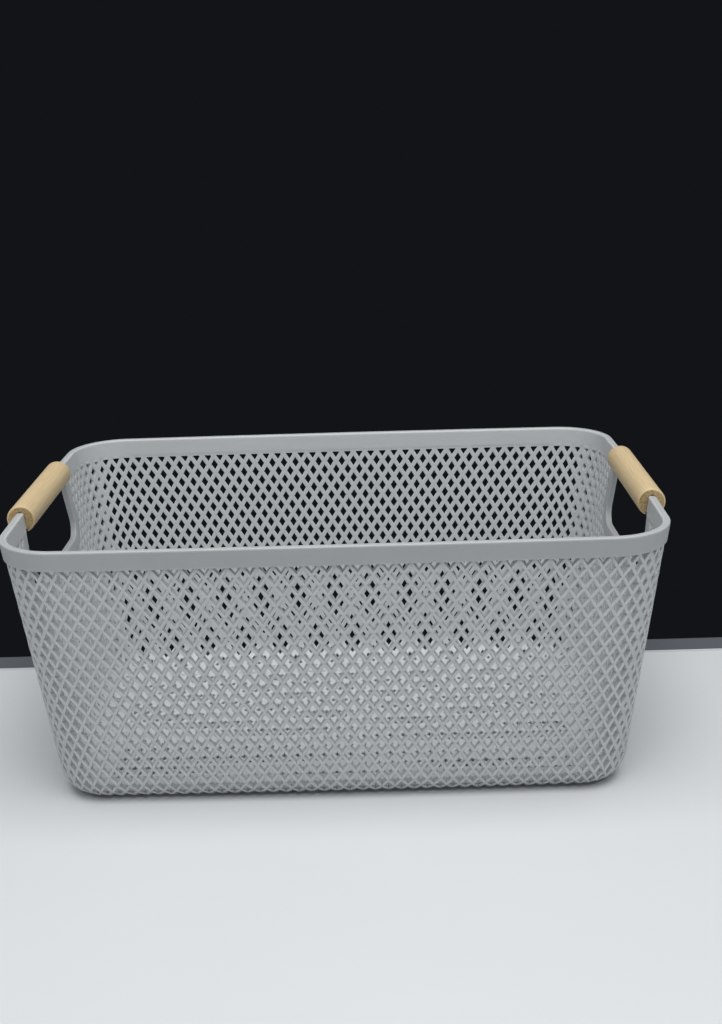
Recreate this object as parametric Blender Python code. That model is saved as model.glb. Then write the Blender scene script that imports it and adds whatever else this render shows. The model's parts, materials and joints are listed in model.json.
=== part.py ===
"""Open-mesh storage basket: one drafted plastic moulding and two slotted wooden grips.

The moulding is laid out as the parts a mould maker would name: a smooth rim band, four mesh walls,
four rounded corners, two plates round the hand holes, the rounded base edge and the mesh floor.
They meet across a hairline gap. The long sides run along X, the grips sit on the ends at -X and +X,
and the origin is the middle of the base, on the table. Metres, +Z up.
"""
import math

import bmesh
import bpy
from mathutils import Vector

# Overall form
RIM_LENGTH = 0.3938
RIM_WIDTH = 0.264
HEIGHT = 0.1735
SIDE_BOW = 0.0013
END_BOW = 0.0011
SIDE_DRAFT_DEGREES = 7.8
END_DRAFT_DEGREES = 6.2

# Shell of the moulding
WALL_THICKNESS = 0.0034
BAND_OVERHANG = 0.0011
BAND_HEIGHT = 0.012
BAND_EDGE_RADIUS = 0.0011
RIM_CORNER_RADIUS = 0.038
BASE_EDGE_RADIUS = 0.020
FLOOR_CORNER_RADIUS = 0.0115
FLOOR_OPENING_RADIUS = 0.001
JOINT_GAP = 0.0003

# Mesh openings, drawn coarser than the real 8.8 mm cells
WALL_CELL_WIDTH = 0.028
WALL_CELL_HEIGHT = 0.0386
FLOOR_CELL_LENGTH = 0.030
FLOOR_CELL_WIDTH = 0.040
OPEN_SHARE = 0.62

# Hand holes
HAND_HOLE_SIDE_MARGIN = 0.0375
HAND_HOLE_FLARE = 0.0058
HAND_HOLE_DROP = 0.052
HAND_HOLE_CORNER_RADIUS = 0.011
STRIP_HEIGHT = 0.010
HAND_PLATE_BORDER = 0.009

# Wooden grips
GRIP_END_CLEARANCE = 0.0022
GRIP_DIAMETER = 0.0175
GRIP_AXIS_DROP = 0.0041
GRIP_END_RADIUS = 0.0016

# Mesh openings round a corner, along one side of the foot, along one end of it, and down its bend
CORNER_COLUMNS = 3
FOOT_SIDE_COLUMNS = 12
FOOT_END_COLUMNS = 6
FOOT_ROWS = 2

# Smoothness of round stretches, as counts
CORNER_STEPS = 8
SIDE_STEPS = 8
END_STEPS = 6
BAND_EDGE_STEPS = 2
HAND_HOLE_STEPS = 5
GRIP_STEPS = 22
GRIP_END_STEPS = 2
SHARP_FROM_DEGREES = 35

# How far the hand hole cutter runs past both ends
CUTTER_OVERRUN = 0.010

# Finishes, with colours as linear RGB
PLASTIC_GREY = (0.33, 0.35, 0.36)
PLASTIC_ROUGHNESS = 0.45
WOOD_PALE = (0.58, 0.43, 0.24)
WOOD_ROUGHNESS = 0.6

# What follows from the sizes above
END_DRAFT = math.radians(END_DRAFT_DEGREES)
MEAN_DRAFT_DEGREES = (SIDE_DRAFT_DEGREES + END_DRAFT_DEGREES) / 2
MEAN_DRAFT = math.radians(MEAN_DRAFT_DEGREES)
SIDE_SLOPE = math.tan(math.radians(SIDE_DRAFT_DEGREES))
END_SLOPE = math.tan(END_DRAFT)
WALL_ACROSS = WALL_THICKNESS / math.cos(MEAN_DRAFT)
BAND_ACROSS = WALL_ACROSS + BAND_OVERHANG
BASE_EDGE_REACH = BASE_EDGE_RADIUS * math.cos(MEAN_DRAFT)
BASE_CORNER_RADIUS = FLOOR_CORNER_RADIUS + BASE_EDGE_REACH
FLOOR_MARGIN = FLOOR_CORNER_RADIUS - FLOOR_OPENING_RADIUS
BAND_BOTTOM = HEIGHT - BAND_HEIGHT
WALL_TOP = BAND_BOTTOM - JOINT_GAP
BASE_EDGE_TOP = BASE_EDGE_RADIUS * (1 - math.sin(MEAN_DRAFT))
WALL_BOTTOM = BASE_EDGE_TOP + JOINT_GAP
HAND_HOLE_TOP = HEIGHT - STRIP_HEIGHT
HAND_HOLE_BOTTOM = HEIGHT - HAND_HOLE_DROP
HAND_PLATE_BOTTOM = HAND_HOLE_BOTTOM - HAND_PLATE_BORDER
END_WALL_TOP = HAND_PLATE_BOTTOM - JOINT_GAP
FOOT_HALF_TURN = FOOT_SIDE_COLUMNS + FOOT_END_COLUMNS + 2 * CORNER_COLUMNS


def clear_scene():
    for old in list(bpy.data.objects):
        bpy.data.objects.remove(old, do_unlink=True)


def make_material(name, colour, roughness):
    material = bpy.data.materials.new(name)
    material.use_nodes = True
    shader = material.node_tree.nodes["Principled BSDF"]
    shader.inputs["Base Color"].default_value = (*colour, 1)
    shader.inputs["Roughness"].default_value = roughness
    shader.inputs["Metallic"].default_value = 0
    return material


def add_object(name, bm, material):
    """Closes a bmesh into a named object with outward faces."""
    bmesh.ops.recalc_face_normals(bm, faces=bm.faces)
    bmesh.ops.triangulate(bm, faces=bm.faces)
    mesh = bpy.data.meshes.new(name)
    bm.to_mesh(mesh)
    bm.free()
    piece = bpy.data.objects.new(name, mesh)
    bpy.context.collection.objects.link(piece)
    if material is not None:
        mesh.materials.append(material)
    return piece


def shade_round(piece):
    piece.data.shade_smooth()
    piece.data.set_sharp_from_angle(angle=math.radians(SHARP_FROM_DEGREES))


def loft(sections, ring):
    """Skins a list of closed sections; a ring joins its last section to its first, else ends are capped."""
    bm = bmesh.new()
    loops = [[bm.verts.new(point) for point in section] for section in sections]
    pairs = list(zip(loops, loops[1:]))
    if ring:
        pairs.append((loops[-1], loops[0]))
    else:
        bm.faces.new(loops[0])
        bm.faces.new(reversed(loops[-1]))
    for here, there in pairs:
        for k in range(len(here)):
            after = (k + 1) % len(here)
            bm.faces.new((here[k], here[after], there[after], there[k]))
    return bm


def wall_line(z):
    """Half length, half width and corner radius of the outer wall face at height z."""
    drop = HEIGHT - z
    share = drop / (HEIGHT - BASE_EDGE_TOP)
    half_x = RIM_LENGTH / 2 - BAND_OVERHANG - drop * END_SLOPE
    half_y = RIM_WIDTH / 2 - BAND_OVERHANG - drop * SIDE_SLOPE
    radius = (RIM_CORNER_RADIUS - BAND_OVERHANG) * (1 - share) + BASE_CORNER_RADIUS * share
    return half_x, half_y, radius


def corner_centre(z):
    half_x, half_y, radius = wall_line(z)
    return half_x - radius, half_y - radius


def side_y_at(z, offset, x):
    """Half width at x, with the swell of the long sides; offset is measured inwards from the wall face."""
    return wall_line(z)[1] - offset + SIDE_BOW * (1 - (x / corner_centre(z)[0]) ** 2)


def end_x_at(z, offset, y):
    return wall_line(z)[0] - offset + END_BOW * (1 - (y / corner_centre(z)[1]) ** 2)


def arc_points(centre, radius, start_degrees, end_degrees, steps):
    points = []
    for step in range(steps + 1):
        angle = math.radians(start_degrees + (end_degrees - start_degrees) * step / steps)
        points.append((centre[0] + radius * math.cos(angle), centre[1] + radius * math.sin(angle)))
    return points


def corner_arc(z, offset, side_x, side_y):
    """Plan points of one corner, counter-clockwise."""
    centre_x, centre_y = corner_centre(z)
    radius = wall_line(z)[2] - offset
    start = {(1, -1): -90, (1, 1): 0, (-1, 1): 90, (-1, -1): 180}[(side_x, side_y)]
    return arc_points((side_x * centre_x, side_y * centre_y), radius, start, start + 90, CORNER_STEPS)


def long_side(z, offset, side_y):
    """Plan points between the corners of a long side, counter-clockwise."""
    points = []
    for step in range(1, SIDE_STEPS):
        x = -side_y * corner_centre(z)[0] * (2 * step / SIDE_STEPS - 1)
        points.append((x, side_y * side_y_at(z, offset, x)))
    return points


def end_side(z, offset, side_x):
    points = []
    for step in range(1, END_STEPS):
        y = side_x * corner_centre(z)[1] * (2 * step / END_STEPS - 1)
        points.append((side_x * end_x_at(z, offset, y), y))
    return points


def plan_outline(z, offset):
    """Whole rounded rectangle of the walls at height z, counter-clockwise from the front side."""
    return (long_side(z, offset, -1) + corner_arc(z, offset, 1, -1) + end_side(z, offset, 1)
            + corner_arc(z, offset, 1, 1) + long_side(z, offset, 1) + corner_arc(z, offset, -1, 1)
            + end_side(z, offset, -1) + corner_arc(z, offset, -1, -1))


def ring_from_profile(profile):
    """Carries a profile of (offset, height) points round the walls, with the plan read at each height."""
    lines = [(plan_outline(z, offset), z) for offset, z in profile]
    count = len(lines[0][0])
    return loft([[Vector((*line[m], z)) for line, z in lines] for m in range(count)], ring=True)


def rim_profile():
    """Section of the smooth band: both top edges rounded, faces at the draft angle."""
    edge = BAND_EDGE_RADIUS
    outer_top = arc_points((edge - BAND_OVERHANG, HEIGHT - edge), edge, 180, 90, BAND_EDGE_STEPS)
    inner_top = arc_points((WALL_ACROSS - edge, HEIGHT - edge), edge, 90, 0, BAND_EDGE_STEPS)
    return [(-BAND_OVERHANG, BAND_BOTTOM)] + outer_top + inner_top + [(WALL_ACROSS, BAND_BOTTOM)]


def mesh_panel(columns, rows, place, ring=False, margin=False):
    """Plate of diamond tiles, each with a diamond opening; the half tiles along the border stay closed.

    place(across, down, face) gives the point at shares of the width and height, on face 0 or 1.
    Tiles are centred where column and row steps add up to an odd number. A ring joins its two sides,
    and a margin is one more closed row, for which down is above 1.
    """
    bm = bmesh.new()
    grid = {}
    last_i, last_k = 2 * columns, 2 * rows
    foot_k = last_k + margin
    ways = [(-1, 0), (0, 1), (1, 0), (0, -1)]

    def point(i, k, face):
        return bm.verts.new(place(i / last_i, k / last_k, face))

    def grid_vert(i, k, face):
        key = (i % last_i if ring else i, k, face)
        if key not in grid:
            grid[key] = point(i, k, face)
        return grid[key]

    def plate(spots):
        bm.faces.new([grid_vert(*spot, 0) for spot in spots])
        bm.faces.new([grid_vert(*spot, 1) for spot in reversed(spots)])

    for i in range(last_i if ring else last_i + 1):
        for k in range(last_k + 1):
            if (i + k) % 2 == 0:
                continue
            around = [(i + di, k + dk) for di, dk in ways]
            inside = [(ring or 0 <= m <= last_i) and 0 <= n <= last_k for m, n in around]
            if not all(inside):
                first, apex, last = [around[(inside.index(False) + step) % 4] for step in (1, 2, 3)]
                plate([(i, k), first, apex])
                plate([(i, k), apex, last])
                continue
            corners = [[grid_vert(*spot, face) for spot in around] for face in (0, 1)]
            rim_spots = [(i + di * OPEN_SHARE, k + dk * OPEN_SHARE) for di, dk in ways]
            hole = [[point(*spot, face) for spot in rim_spots] for face in (0, 1)]
            for m in range(4):
                n = (m + 1) % 4
                bm.faces.new((corners[0][m], corners[0][n], hole[0][n], hole[0][m]))
                bm.faces.new((corners[1][n], corners[1][m], hole[1][m], hole[1][n]))
                bm.faces.new((hole[0][m], hole[0][n], hole[1][n], hole[1][m]))
    for i in range(last_i):
        for k in range(last_k, foot_k):
            plate([(i, k), (i, k + 1), (i + 1, k + 1), (i + 1, k)])
    top = [(i, 0) for i in range(last_i + 1)]
    foot = [(i, foot_k) for i in range(last_i, -1, -1)]
    sides = [[(last_i, k) for k in range(foot_k + 1)], [(0, k) for k in range(foot_k, -1, -1)]]
    for border in [top, foot] + ([] if ring else sides):
        for here, there in zip(border, border[1:]):
            edge = (grid_vert(*here, 0), grid_vert(*there, 0), grid_vert(*there, 1), grid_vert(*here, 1))
            bm.faces.new(edge)
    return bm


def cells_in(length, cell):
    return max(1, round(length / cell))


def make_long_wall(name, side_y, material):
    def place(across, down, face):
        z = WALL_TOP + (WALL_BOTTOM - WALL_TOP) * down
        x = (corner_centre(z)[0] - JOINT_GAP) * (2 * across - 1)
        return Vector((x, side_y * side_y_at(z, face * WALL_ACROSS, x), z))

    columns = cells_in(2 * corner_centre(WALL_TOP)[0], WALL_CELL_WIDTH)
    rows = cells_in(WALL_TOP - WALL_BOTTOM, WALL_CELL_HEIGHT)
    add_object(name, mesh_panel(columns, rows, place), material)


def make_corner(name, side_x, side_y, material):
    """Cone-shaped mesh corner between two mesh walls."""
    start = {(1, -1): -90, (1, 1): 0, (-1, 1): 90, (-1, -1): 180}[(side_x, side_y)]

    def place(across, down, face):
        z = WALL_TOP + (WALL_BOTTOM - WALL_TOP) * down
        centre_x, centre_y = corner_centre(z)
        radius = wall_line(z)[2] - face * WALL_ACROSS
        angle = math.radians(start + 90 * across)
        x, y = side_x * centre_x + radius * math.cos(angle), side_y * centre_y + radius * math.sin(angle)
        return Vector((x, y, z))

    rows = cells_in(WALL_TOP - WALL_BOTTOM, WALL_CELL_HEIGHT)
    shade_round(add_object(name, mesh_panel(CORNER_COLUMNS, rows, place), material))


def foot_plan(across, offset):
    """Plan point of the foot at a share of the way round, from the right end of the front side."""
    column = across % 1 * 2 * FOOT_HALF_TURN
    side = 1 if column < FOOT_HALF_TURN else -1
    column %= FOOT_HALF_TURN
    half_x, half_y, radius = wall_line(BASE_EDGE_TOP)
    centre_x, centre_y = half_x - radius, half_y - radius
    end_start, end_stop = CORNER_COLUMNS, CORNER_COLUMNS + FOOT_END_COLUMNS
    if end_start <= column <= end_stop:
        y = centre_y * (2 * (column - end_start) / FOOT_END_COLUMNS - 1)
        return side * end_x_at(BASE_EDGE_TOP, offset, y), side * y
    if column > end_stop + CORNER_COLUMNS:
        x = centre_x * (1 - 2 * (column - end_stop - CORNER_COLUMNS) / FOOT_SIDE_COLUMNS)
        return side * x, side * side_y_at(BASE_EDGE_TOP, offset, x)
    front = column < end_start
    share = column / CORNER_COLUMNS - 1 if front else (column - end_stop) / CORNER_COLUMNS
    angle = math.radians(90 * share)
    x = centre_x + (radius - offset) * math.cos(angle)
    y = (-centre_y if front else centre_y) + (radius - offset) * math.sin(angle)
    return side * x, side * y


def foot_section(down, face):
    """Offset and height at a share of the way down the bend, on its outer face 0 or inner face 1."""
    if down > 1:
        return BASE_EDGE_REACH + FLOOR_MARGIN, face * WALL_THICKNESS
    angle = math.radians(180 + MEAN_DRAFT_DEGREES + (90 - MEAN_DRAFT_DEGREES) * down)
    size = BASE_EDGE_RADIUS - face * WALL_THICKNESS
    offset, z = BASE_EDGE_REACH + size * math.cos(angle), BASE_EDGE_RADIUS + size * math.sin(angle)
    level = face * max(0, 1 - down * 2 * FOOT_ROWS)
    return offset + (WALL_ACROSS - offset) * level, z + (BASE_EDGE_TOP - z) * level


def make_base_edge(name, material):
    """Mesh quarter round from the foot of the walls, and the flat margin of the floor that follows it."""
    def place(across, down, face):
        offset, z = foot_section(down, face)
        return Vector((*foot_plan(across, offset), z))

    ring = mesh_panel(2 * FOOT_HALF_TURN, FOOT_ROWS, place, ring=True, margin=True)
    shade_round(add_object(name, ring, material))


def end_point(side_x, across, z, face):
    """Point of an end wall at a share of its flat width, on its outer face 0 or inner face 1."""
    y = (corner_centre(z)[1] - JOINT_GAP) * (2 * across - 1)
    return Vector((side_x * end_x_at(z, face * WALL_ACROSS, y), y, z))


def make_end_wall(name, side_x, material):
    """Mesh wall of an end, below the plate of the hand hole."""
    def place(across, down, face):
        return end_point(side_x, across, END_WALL_TOP + (WALL_BOTTOM - END_WALL_TOP) * down, face)

    columns = cells_in(2 * corner_centre(END_WALL_TOP)[1], WALL_CELL_WIDTH)
    rows = cells_in(END_WALL_TOP - WALL_BOTTOM, WALL_CELL_HEIGHT)
    add_object(name, mesh_panel(columns, rows, place), material)


def make_floor(name, material):
    """Mesh floor inside the margin of the base edge."""
    half_x, half_y, _ = wall_line(BASE_EDGE_TOP)
    reach = BASE_EDGE_REACH + FLOOR_MARGIN + JOINT_GAP
    tuck = FLOOR_OPENING_RADIUS * (1 - math.sqrt(0.5))

    def place(across, down, face):
        corner = across in (0, 1) and down in (0, 1)
        x = (half_x - reach - corner * tuck) * (2 * across - 1)
        y = (half_y - reach - corner * tuck) * (2 * down - 1)
        swollen_x = x * (end_x_at(BASE_EDGE_TOP, reach, y) / (half_x - reach))
        swollen_y = y * (side_y_at(BASE_EDGE_TOP, reach, x) / (half_y - reach))
        return Vector((swollen_x, swollen_y, face * WALL_THICKNESS))

    columns = cells_in(2 * (half_x - reach), FLOOR_CELL_LENGTH)
    rows = cells_in(2 * (half_y - reach), FLOOR_CELL_WIDTH)
    add_object(name, mesh_panel(columns, rows, place), material)


def hand_hole_half_top():
    """Half length of the hand hole under the strip that carries the grip."""
    return corner_centre(HAND_HOLE_TOP)[1] - HAND_HOLE_SIDE_MARGIN


def hand_hole_outline():
    """Half lengths and heights of the hand hole: it flares downwards to two rounded lower corners."""
    radius = HAND_HOLE_CORNER_RADIUS
    half_top = hand_hole_half_top()
    half_low = half_top + HAND_HOLE_FLARE
    right = arc_points((half_low - radius, HAND_HOLE_BOTTOM + radius), radius, -90, 0, HAND_HOLE_STEPS)
    left = [(-y, z) for y, z in reversed(right)]
    return left + right + [(half_top, HAND_HOLE_TOP), (-half_top, HAND_HOLE_TOP)]


def make_hand_hole_cutter():
    """One prism through both ends of the basket."""
    reach = RIM_LENGTH / 2 + END_BOW + CUTTER_OVERRUN
    outline = hand_hole_outline()
    prism = loft([[Vector((x, y, z)) for y, z in outline] for x in (-reach, reach)], ring=False)
    cutter = add_object("hand_hole_cutter", prism, None)
    cutter.hide_render = True
    cutter.display_type = "WIRE"
    return cutter


def cut(piece, cutter):
    boolean = piece.modifiers.new("hand hole", "BOOLEAN")
    boolean.operation = "DIFFERENCE"
    boolean.solver = "EXACT"
    boolean.object = cutter


def make_hand_plate(name, side_x, cutter, material):
    """Smooth plate of an end wall round its hand hole, below the rim band."""
    rows = [(0, WALL_TOP), (0, HAND_PLATE_BOTTOM), (1, HAND_PLATE_BOTTOM), (1, WALL_TOP)]
    sections = []
    for step in range(END_STEPS + 1):
        sections.append([end_point(side_x, step / END_STEPS, z, face) for face, z in rows])
    cut(add_object(name, loft(sections, ring=False), material), cutter)


def grip_half_length():
    return hand_hole_half_top() - GRIP_END_CLEARANCE


def grip_section(side_x, y, radius):
    """Round section with a slot from below that takes the leaning, slightly curved strip of the rim band."""
    centre_z = HEIGHT - GRIP_AXIS_DROP
    strip_middle = WALL_ACROSS - BAND_ACROSS / 2
    most = end_x_at(centre_z, strip_middle, 0)
    least = end_x_at(centre_z, strip_middle, grip_half_length())
    centre_x = (most + least) / 2
    half_slot = BAND_ACROSS * math.cos(END_DRAFT) / 2 + (most - least) / 2 + JOINT_GAP
    slot_top = GRIP_AXIS_DROP * math.cos(END_DRAFT) + BAND_ACROSS * math.sin(END_DRAFT) / 2 + JOINT_GAP
    slot_angle = math.degrees(math.asin(half_slot / radius))
    local = arc_points((0, 0), radius, slot_angle - 90, 270 - slot_angle, GRIP_STEPS)
    local += [(-half_slot, slot_top), (half_slot, slot_top)]
    section = []
    for out, up in local:
        x = centre_x + out * math.cos(END_DRAFT) + up * math.sin(END_DRAFT)
        z = centre_z - out * math.sin(END_DRAFT) + up * math.cos(END_DRAFT)
        section.append(Vector((side_x * x, y, z)))
    return section


def make_grip(name, side_x, material):
    """Slotted dowel with rounded ends, pushed over the strip above a hand hole."""
    radius = GRIP_DIAMETER / 2
    end_centre = (grip_half_length() - GRIP_END_RADIUS, radius - GRIP_END_RADIUS)
    ends = arc_points(end_centre, GRIP_END_RADIUS, 90, 0, GRIP_END_STEPS)
    stations = [(-y, size) for y, size in reversed(ends)] + ends
    sections = [grip_section(side_x, y, size) for y, size in stations]
    shade_round(add_object(name, loft(sections, ring=False), material))


def main():
    clear_scene()

    def plastic(name):
        return make_material(name + "_plastic", PLASTIC_GREY, PLASTIC_ROUGHNESS)

    cutter = make_hand_hole_cutter()
    rim = add_object("rim_band", ring_from_profile(rim_profile()), plastic("rim_band"))
    cut(rim, cutter)
    shade_round(rim)
    make_base_edge("base_edge", plastic("base_edge"))

    make_long_wall("front_mesh_wall", -1, plastic("front_mesh_wall"))
    make_long_wall("back_mesh_wall", 1, plastic("back_mesh_wall"))
    make_floor("mesh_floor", plastic("mesh_floor"))
    for side, side_x in (("left", -1), ("right", 1)):
        make_end_wall(side + "_mesh_wall", side_x, plastic(side + "_mesh_wall"))
        make_hand_plate(side + "_hand_hole_plate", side_x, cutter, plastic(side + "_hand_hole_plate"))
        make_corner("front_" + side + "_corner", side_x, -1, plastic("front_" + side + "_corner"))
        make_corner("back_" + side + "_corner", side_x, 1, plastic("back_" + side + "_corner"))
        wood = make_material(side + "_grip_wood", WOOD_PALE, WOOD_ROUGHNESS)
        make_grip(side + "_wooden_grip", side_x, wood)


main()
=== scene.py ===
# %% [markdown]
# # A mesh storage basket with wooden grips
#
# The basket is one grey plastic moulding: a smooth band round the rim, walls and floor full of diamond
# openings, and a rounded foot. Two slotted dowels sit over the strips above its hand holes. The packed
# CAD model gives the frame, and every visible surface here is a finer skin laid on it.

import json
import math

import bmesh
import bpy
import numpy as np
from mathutils import Matrix, Vector
from mathutils.geometry import intersect_point_line
from mathutils.kdtree import KDTree

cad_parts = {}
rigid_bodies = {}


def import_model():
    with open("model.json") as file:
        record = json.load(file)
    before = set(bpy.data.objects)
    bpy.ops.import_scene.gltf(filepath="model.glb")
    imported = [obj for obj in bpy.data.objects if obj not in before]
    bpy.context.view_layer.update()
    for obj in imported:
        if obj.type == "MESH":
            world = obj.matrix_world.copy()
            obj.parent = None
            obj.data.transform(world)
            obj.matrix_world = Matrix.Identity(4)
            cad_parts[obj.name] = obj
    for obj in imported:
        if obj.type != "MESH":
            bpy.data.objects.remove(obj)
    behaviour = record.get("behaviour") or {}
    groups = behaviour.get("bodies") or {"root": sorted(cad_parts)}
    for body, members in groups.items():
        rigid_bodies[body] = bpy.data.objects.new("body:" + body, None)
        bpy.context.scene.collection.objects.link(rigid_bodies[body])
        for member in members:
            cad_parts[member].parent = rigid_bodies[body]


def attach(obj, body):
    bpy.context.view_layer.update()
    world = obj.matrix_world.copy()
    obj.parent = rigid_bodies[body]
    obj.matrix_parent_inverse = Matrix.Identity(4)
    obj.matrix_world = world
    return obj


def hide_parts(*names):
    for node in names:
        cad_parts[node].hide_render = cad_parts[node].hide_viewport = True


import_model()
bpy.context.view_layer.update()

# %% [markdown]
# ## Camera
#
# The photograph looks down on one long side, a little left of square. A camera can be placed by hand
# until the outlines meet, or worked out from points whose real places are known. The second way was
# taken: the numbers below are a least-squares fit to the rim, the walls and the rows of openings.

# %% Camera at the photograph's view
IMAGE_HEIGHT = 1024
FOCAL_PIXELS = 1334.21
CAMERA_PLACE = Vector((0.0232, -0.84093, 0.41345))
PITCH, YAW, ROLL = 0.3017, -0.0095, -0.0303

ahead = Vector((math.sin(YAW) * math.cos(PITCH), math.cos(YAW) * math.cos(PITCH), -math.sin(PITCH)))
level = Vector((math.cos(YAW), -math.sin(YAW), 0))
upright = level.cross(ahead)
right = math.cos(ROLL) * level + math.sin(ROLL) * upright
up = math.cos(ROLL) * upright - math.sin(ROLL) * level


def add_object(name, data):
    thing = bpy.data.objects.new(name, data)
    bpy.context.collection.objects.link(thing)
    return thing


lens = bpy.data.cameras.new("camera")
lens.sensor_width = 36
lens.lens = FOCAL_PIXELS / IMAGE_HEIGHT * lens.sensor_width
camera = add_object("camera", lens)
camera.matrix_world = Matrix.Translation(CAMERA_PLACE) @ Matrix((right, up, -ahead)).transposed().to_4x4()
bpy.context.scene.camera = camera
print("lens, mm:", round(lens.lens, 2))

# %% [markdown]
# ## Helpers for nodes and colours
#
# Colours are written as sRGB hex values, as on a paint chart, and Blender works in linear light, so one
# function converts them. Another adds a node with its settings and links. The rest are short names for
# what several materials use.

# %% Node and colour helpers


def colour(code):
    """Linear RGBA of an sRGB hex value."""
    shares = [int(code[k:k + 2], 16) / 255 for k in (1, 3, 5)]
    return (*[s / 12.92 if s <= 0.04045 else ((s + 0.055) / 1.055) ** 2.4 for s in shares], 1)


def fill(tree, node, inputs):
    """Fills a node's inputs with values, or with links where a socket is given."""
    for key, value in inputs.items():
        if isinstance(value, bpy.types.NodeSocket):
            tree.links.new(value, node.inputs[key])
        else:
            node.inputs[key].default_value = value


def add_node(tree, kind, inputs=None, **settings):
    """Adds a node, sets its properties and fills its inputs."""
    node = tree.nodes.new(kind)
    for name, value in settings.items():
        setattr(node, name, value)
    fill(tree, node, inputs or {})
    return node


def new_material(name):
    """A node material, its tree, its Principled shader and the place in Object coordinates."""
    material = bpy.data.materials.new(name)
    material.use_nodes = True
    tree = material.node_tree
    place = add_node(tree, "ShaderNodeTexCoord").outputs["Object"]
    return material, tree, tree.nodes["Principled BSDF"], place


def noise(tree, place, size, **inputs):
    """A noise whose patches are about size metres across."""
    return add_node(tree, "ShaderNodeTexNoise", {"Vector": place, "Scale": 1 / size, **inputs}).outputs["Fac"]


def mixed(tree, factor, first, second):
    """A mix of two colours, each a value or a socket."""
    mix = add_node(tree, "ShaderNodeMix", {"Factor": factor, "A": first, "B": second}, data_type="RGBA")
    return mix.outputs["Result"]


def spread(tree, value, ends):
    """A value carried from one range to another."""
    return add_node(tree, "ShaderNodeMapRange", {"Value": value, **ends}).outputs["Result"]


print("#808080 in linear light:", round(colour("#808080")[0], 4))

# %% [markdown]
# ## Grey plastic
#
# The moulding is polypropylene, injected into a steel mould whose face was spark-eroded, so it comes
# out with an even satin grain and faint cloudy changes in tone. A noise of a third of a millimetre
# gives the grain, and a broad one the clouds. Light goes some millimetres into such plastic and comes
# out again, which softens the shadows between the ribs, so the shader scatters it below the surface.
# The ribs, the floor and the band's inner face get a lighter copy of the same plastic: painted light, for the
# light that the thin ribs catch.

# %% Polypropylene, smooth and a lighter copy with painted light
GRAIN_SIZE = 0.00035
GRAIN_DEPTH = 0.0001
CLOUD_SIZE = 0.045
SCATTER_DEPTH = 0.003
PLASTIC_IOR = 1.49


def make_polypropylene(name, dark, light):
    material, tree, shader, place = new_material(name)
    clouds = noise(tree, place, CLOUD_SIZE, Detail=3)
    grain = noise(tree, place, GRAIN_SIZE, Detail=2)
    bump = add_node(tree, "ShaderNodeBump", {"Height": grain, "Strength": 0.12, "Distance": GRAIN_DEPTH})
    fill(tree, shader, {
        "Base Color": mixed(tree, clouds, colour(dark), colour(light)),
        "Roughness": spread(tree, grain, {"To Min": 0.40, "To Max": 0.52}),
        "Normal": bump.outputs["Normal"],
        "IOR": PLASTIC_IOR, "Subsurface Weight": 0.8, "Subsurface Radius": (1.0, 1.0, 1.0),
        "Subsurface Scale": SCATTER_DEPTH})
    return material


smooth_polypropylene = make_polypropylene("smooth_polypropylene", "#a5a8a9", "#abaeaf")
# The same plastic made lighter: painted light on the ribs, the floor and the band's inner face.
painted_light_polypropylene = make_polypropylene("painted_light_polypropylene", "#b6b9ba", "#bcbfc0")
print("plastic grain, mm:", GRAIN_SIZE * 1000)

# %% [markdown]
# ## Pale wood
#
# The grips are turned from beech or a similar pale hardwood, with a dull clear finish. A picture of wood
# would show one plank from one side, so noise is used, which runs through the whole dowel. Long fibres
# and bands of warmer and cooler wood are noises stretched along Y. The sawn ends show open pores, and
# an attribute of the end faces, end_grain, says where they are.

# %% Turned pale wood
FIBRE_WIDTH = 0.0006
FIBRE_LENGTH = 0.025
FIBRE_DEPTH = 0.0002
GROWTH_WIDTH = 0.005
PORE_SIZE = 0.0009


def make_turned_wood():
    material, tree, shader, place = new_material("turned_pale_beech")
    stretched = add_node(tree, "ShaderNodeMapping", {
        "Vector": place, "Scale": (1, FIBRE_WIDTH / FIBRE_LENGTH, 1)}).outputs["Vector"]
    fibres = noise(tree, stretched, FIBRE_WIDTH, Detail=4, Roughness=0.6)
    bands = noise(tree, stretched, GROWTH_WIDTH, Detail=2)
    pores = noise(tree, place, PORE_SIZE, Detail=3)
    warm = mixed(tree, bands, colour("#d6c39c"), colour("#c4ab80"))
    lines = spread(tree, fibres, {"From Min": 0.35, "From Max": 0.7, "To Max": 0.35})
    turned = mixed(tree, lines, warm, colour("#9c8058"))
    speckle = spread(tree, pores, {"From Min": 0.4, "From Max": 0.6})
    sawn = mixed(tree, speckle, colour("#b7a075"), colour("#8d7249"))
    end = add_node(tree, "ShaderNodeAttribute", attribute_name="end_grain").outputs["Fac"]
    bump = add_node(tree, "ShaderNodeBump", {"Height": fibres, "Strength": 0.15, "Distance": FIBRE_DEPTH})
    fill(tree, shader, {"Base Color": mixed(tree, end, turned, sawn), "Normal": bump.outputs["Normal"],
                        "Roughness": 0.55})
    return material


turned_wood = make_turned_wood()
print("wood fibre, mm:", FIBRE_WIDTH * 1000)

# %% [markdown]
# ## The shape of the walls
#
# The walls lean outwards and meet in cone-shaped corners, and a quarter round carries them on to the
# floor. All of it follows from a few sizes of the CAD model. These functions give the wall's plan at
# any height, so that every skin sits where its solid is.

# %% Sizes of the moulding
RIM_LENGTH = 0.3938
RIM_WIDTH = 0.264
HEIGHT = 0.1735
SIDE_BOW = 0.0013
END_BOW = 0.0011
SIDE_DRAFT = math.radians(7.8)
END_DRAFT = math.radians(6.2)
MEAN_DRAFT = (SIDE_DRAFT + END_DRAFT) / 2
WALL_THICKNESS = 0.0034
BAND_OVERHANG = 0.0011
BAND_HEIGHT = 0.012
RIM_CORNER_RADIUS = 0.038
BASE_EDGE_RADIUS = 0.020
FLOOR_CORNER_RADIUS = 0.0115

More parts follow.
